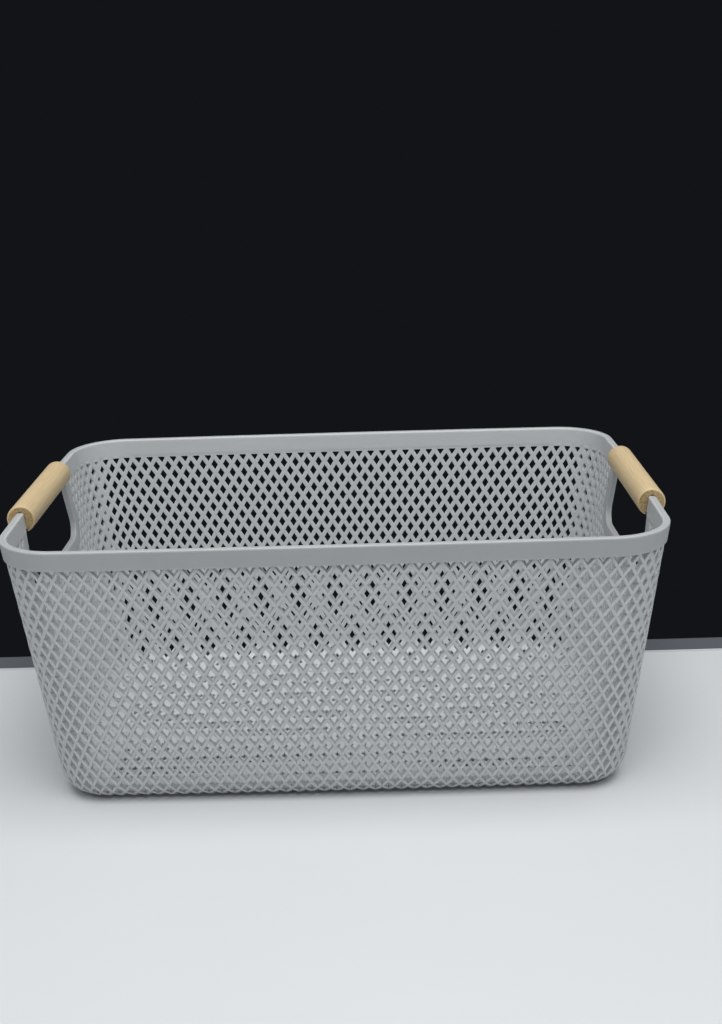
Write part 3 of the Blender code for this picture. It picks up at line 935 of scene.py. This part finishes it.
def station_along(z, station):
    """Distance along the plan at height z of a station."""
    turn, stretch, share = station
    flat_x, flat_y, radius = plan_lengths(z)
    bend = radius * math.pi / 2
    lengths = (flat_x, bend, 2 * flat_y, bend, flat_x)
    return turn * sum(lengths) + sum(lengths[:stretch]) + share * lengths[stretch]


def band_section(station):
    """Rounded section from the lower outer edge, over the top, to the lower inner edge."""
    edge, low = BAND_EDGE_RADIUS, LOWER_EDGE_RADIUS
    over_hole = station[1] == END_STRETCH and HOLE_FROM <= station[2] <= HOLE_TO
    bottom = HAND_HOLE_TOP if over_hole else BAND_BOTTOM
    profile = arc((low - BAND_OVERHANG, bottom + low), low, 270, 180, LOWER_EDGE_STEPS)
    profile += [(-BAND_OVERHANG, bottom + low + SUPPORT_STEP), (-BAND_OVERHANG, HEIGHT - edge - SUPPORT_STEP)]
    profile += arc((edge - BAND_OVERHANG, HEIGHT - edge), edge, 180, 90, TOP_EDGE_STEPS)
    profile += arc((WALL_ACROSS - edge, HEIGHT - edge), edge, 90, 0, TOP_EDGE_STEPS)
    profile += [(WALL_ACROSS, HEIGHT - edge - SUPPORT_STEP), (WALL_ACROSS, bottom)]
    return [plan_point(z, station_along(z, station), offset).to_tuple() for offset, z in profile]


def make_band():
    """The band, smooth outside and on top, with painted light on its inner face: the ribs' lighter copy of
    the plastic.
    """
    sections = [band_section(station) for station in band_stations()]
    bm = loft(sections, ring=True)
    # Faces that look inwards get the lighter copy of the plastic, painted light.
    for k, face in enumerate(bm.faces):
        face.material_index = int(k % len(sections[0]) >= FIRST_INNER_FACE)
    skin = add_piece("rim_band_skin", bm, smooth_polypropylene)
    skin.data.materials.append(painted_light_polypropylene)
    return skin


band_skin = make_band()
print("rim band faces:", len(band_skin.data.polygons))

# %% [markdown]
# ## Hand hole borders
#
# The border is the plain frame that stiffens each hole, a little proud of the mesh. A bevelled curve
# would give the same section, but it would not follow the bowed wall. Lofting does: each section is
# laid on the end wall, down one side of the hole, under it and up the other.

# %% Loft the hand hole borders
BORDER_PROUD_OUTSIDE = 0.0004
BORDER_PROUD_INSIDE = 0.00012
BORDER_EDGE_RADIUS = 0.0005
BORDER_EDGE_STEPS = 3
BORDER_LAP = 0.0006  # how far its ends reach into the band


def border_section(inner_point, outer_point, side):
    """Rounded section across the border, between the hole's edge and the mesh."""
    near, far = Vector(inner_point), Vector(outer_point)
    width = (far - near).length
    low, high = -BORDER_PROUD_OUTSIDE, WALL_ACROSS + BORDER_PROUD_INSIDE
    edge, steps = BORDER_EDGE_RADIUS, BORDER_EDGE_STEPS
    profile = arc((edge, low + edge), edge, 180, 270, steps) + [(width / 2, low)]
    profile += arc((width - edge, low + edge), edge, 270, 360, steps)
    profile += arc((width - edge, high - edge), edge, 0, 90, steps) + [(width / 2, high)]
    profile += arc((edge, high - edge), edge, 90, 180, steps)
    spots = [(near.lerp(far, across / width), offset) for across, offset in profile]
    return [Vector((side * end_x(spot.y, spot.x, offset), spot.x, spot.y)) for spot, offset in spots]


def make_border(name, side):
    top = BAND_BOTTOM + BORDER_LAP
    pairs = zip(hole_line(0, top), hole_line(HOLE_BORDER, top))
    bm = loft([border_section(a, b, side) for a, b in pairs], ring=False)
    return add_piece(name, bm, smooth_polypropylene)


left_border = make_border("left_hand_hole_border", -1)
right_border = make_border("right_hand_hole_border", 1)
print("border faces:", len(left_border.data.polygons))

# %% [markdown]
# ## Wooden grips
#
# Each grip is a short dowel, sawn off, rounded at both ends, and slotted from below so that it slides
# over the strip. A cylinder with a Boolean slot would look much the same, but a loft keeps even rows of
# faces for the wood: one section, a circle with a round-topped slot, is carried along Y.

# %% Loft the grips
GRIP_END_CLEARANCE = 0.0022
GRIP_RADIUS = 0.00875
GRIP_AXIS_DROP = 0.0041
GRIP_END_RADIUS = 0.0010
SLOT_GAP = 0.0003
SLOT_CROWN = 0.9  # drop of the slot's round top, in half widths
ROUND_STEPS, SLOT_STEPS, GRIP_EDGE_STEPS, LENGTH_STEPS = 56, 8, 5, 6
GRIP_HALF_LENGTH = HOLE_HALF_TOP - GRIP_END_CLEARANCE


def grip_section(side, y, radius):
    """Section at y, leaning with the end wall, its slot wide enough for the bowed strip."""
    centre_z = HEIGHT - GRIP_AXIS_DROP
    strip_middle = WALL_ACROSS - BAND_ACROSS / 2
    most, least = end_x(centre_z, 0, strip_middle), end_x(centre_z, GRIP_HALF_LENGTH, strip_middle)
    centre_x = (most + least) / 2
    half_slot = BAND_ACROSS * math.cos(END_DRAFT) / 2 + (most - least) / 2 + SLOT_GAP
    slot_top = GRIP_AXIS_DROP * math.cos(END_DRAFT) + BAND_ACROSS * math.sin(END_DRAFT) / 2 + SLOT_GAP
    slot_angle = math.degrees(math.asin(half_slot / radius))
    crown = slot_top - SLOT_CROWN * half_slot
    local = arc((0, 0), radius, slot_angle - 90, 270 - slot_angle, ROUND_STEPS)
    local += [(-half_slot, crown)] + arc((0, crown), half_slot, 180, 0, SLOT_STEPS)[1:-1]
    local += [(half_slot, crown)]
    section = []
    for out, rise in local:
        x = centre_x + out * math.cos(END_DRAFT) + rise * math.sin(END_DRAFT)
        z = centre_z - out * math.sin(END_DRAFT) + rise * math.cos(END_DRAFT)
        section.append(Vector((side * x, y, z)))
    return section


def make_grip(name, side):
    centre = (GRIP_HALF_LENGTH - GRIP_END_RADIUS, GRIP_RADIUS - GRIP_END_RADIUS)
    ends = arc(centre, GRIP_END_RADIUS, 90, 0, GRIP_EDGE_STEPS)
    lengthways = [(centre[0] * k / LENGTH_STEPS, GRIP_RADIUS) for k in range(1 - LENGTH_STEPS, LENGTH_STEPS)]
    stations = [(-y, size) for y, size in reversed(ends)] + lengthways + ends
    bm = loft([grip_section(side, y, size) for y, size in stations], ring=False)
    end_grain = bm.faces.layers.float.new("end_grain")
    for face in bm.faces:
        face[end_grain] = len(face.verts) > 4  # only the two caps have more corners
    return add_piece(name, bm, turned_wood)


left_grip = make_grip("left_grip", -1)
right_grip = make_grip("right_grip", 1)
print("grip faces:", len(left_grip.data.polygons))

# %% [markdown]
# ## Hand the pieces to the frame
#
# The guides, lattice points and cells were scaffolding, so they are removed first. The real basket has
# no moving part, so every piece rides on the one body, and says which CAD solids it stands for. The
# mesh is one piece, because the real walls, corners and foot run together without a seam.

# %% Remove the helpers
helpers = (wall_guide, floor_guide, wall_points, floor_points, *cells.objects)
for helper in helpers:
    bpy.data.objects.remove(helper, do_unlink=True)
bpy.data.collections.remove(cells)
print("helpers removed:", len(helpers))

# %% Bodies and replaced nodes
stands_for = {
    mesh_shell: ("front_mesh_wall", "back_mesh_wall", "left_mesh_wall", "right_mesh_wall", "base_edge",
                 "front_left_corner", "front_right_corner", "back_left_corner", "back_right_corner"),
    mesh_floor_skin: ("mesh_floor",), band_skin: ("rim_band",), left_border: ("left_hand_hole_plate",),
    right_border: ("right_hand_hole_plate",), left_grip: ("left_wooden_grip",),
    right_grip: ("right_wooden_grip",)}
for piece, nodes in stands_for.items():
    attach(piece, "root")
    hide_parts(*nodes)
    print(piece.name, "stands for", ", ".join(nodes))

# %% [markdown]
# ## Table
#
# The basket stands on a white laminate table, closed at the back by a narrow trim and a dark rail. Only
# its top and far edge are seen, so three long boxes with small bevels are enough. They are turned a
# little about Z, because the edge isn't quite square to the basket.

# %% Table
TABLE_HALF_LENGTH = 2.2
TABLE_FRONT, TABLE_BACK = -1.6, 0.105
TABLE_THICKNESS = 0.03
TABLE_BEVEL, RAIL_BEVEL = 0.0008, 0.001
TABLE_TURN = math.radians(0.2)
TRIM_DEPTH = 0.0035
RAIL_DEPTH = 0.023
RAIL_BELOW_TOP = 0.0005
STAGE_CLOUD_SIZE = 1 / 6


def long_box(name, front, back, top, bevel, material):
    """Box as long as the table, from front to back, with its top at the height top."""
    low = (-TABLE_HALF_LENGTH, front, -TABLE_THICKNESS)
    high = (TABLE_HALF_LENGTH, back, top)
    bm = bmesh.new()
    bmesh.ops.create_cube(bm, size=1)
    for vert in bm.verts:
        vert.co = Vector([a + (b - a) * (c + 0.5) for a, b, c in zip(low, high, vert.co)])
    bmesh.ops.bevel(bm, geom=bm.edges[:], offset=bevel, segments=2, affect="EDGES")
    bmesh.ops.rotate(bm, verts=bm.verts, matrix=Matrix.Rotation(TABLE_TURN, 3, "Z"))
    piece = add_piece(name, bm, material)
    print(name, "from Y", front, "to", round(back, 4))


def make_stage_material(name, dark, light, roughness):
    material, tree, shader, place = new_material(name)
    clouds = noise(tree, place, STAGE_CLOUD_SIZE, Detail=2)
    fill(tree, shader, {"Base Color": mixed(tree, clouds, colour(dark), colour(light)),
                        "Roughness": roughness})
    return material


table_laminate = make_stage_material("white_laminate", "#d2d4d6", "#d6d8da", 0.17)
dark_rail = make_stage_material("dark_grey_rail", "#53575d", "#575b61", 0.5)
trim_back = TABLE_BACK + TRIM_DEPTH
long_box("table_top", TABLE_FRONT, TABLE_BACK, 0, TABLE_BEVEL, table_laminate)
long_box("table_trim", TABLE_BACK, trim_back, 0, TABLE_BEVEL, table_laminate)
long_box("back_rail", trim_back, trim_back + RAIL_DEPTH, -RAIL_BELOW_TOP, RAIL_BEVEL, dark_rail)

# %% [markdown]
# ## Backdrop and light
#
# Behind the table the photograph is almost black, and yet a pale room lights the basket from all sides.
# One world gives both: the camera's own rays meet a dark colour, and all others a pale one. A wide area
# lamp is the ceiling panel, above and in front, and its size makes the soft shadow.

# %% World and lamps
ROOM_STRENGTH = 0.26
PANEL_PLACE, PANEL_TARGET = Vector((0.1, -0.7, 1.85)), Vector((0.05, 0, 0))
PANEL_SIZE = (1.9, 1.7)
PANEL_POWER = 46

world = bpy.data.worlds.new("dark_backdrop_and_soft_room")
bpy.context.scene.world = world
world.use_nodes = True
backdrop = world.node_tree
backdrop.nodes.clear()
path = add_node(backdrop, "ShaderNodeLightPath")
seen = add_node(backdrop, "ShaderNodeBackground", {"Color": colour("#121417"), "Strength": 1.0})
room = add_node(backdrop, "ShaderNodeBackground", {"Color": colour("#eef2f6"), "Strength": ROOM_STRENGTH})
either = add_node(backdrop, "ShaderNodeMixShader", {
    0: path.outputs["Is Camera Ray"], 1: room.outputs["Background"], 2: seen.outputs["Background"]})
add_node(backdrop, "ShaderNodeOutputWorld", {"Surface": either.outputs["Shader"]})

lamp = bpy.data.lights.new("ceiling_panel", "AREA")
lamp.shape = "RECTANGLE"
lamp.size, lamp.size_y = PANEL_SIZE
lamp.energy = PANEL_POWER
panel = add_object("ceiling_panel", lamp)
panel.location = PANEL_PLACE
panel.rotation_euler = (PANEL_TARGET - PANEL_PLACE).to_track_quat("-Z", "Y").to_euler()
print("ceiling panel, W:", lamp.energy)

# %% [markdown]
# ## View
#
# The Standard view transform shows the greys as they were chosen, where a film-like one would bend them.

# %% View transform
bpy.context.scene.view_settings.view_transform = "Standard"
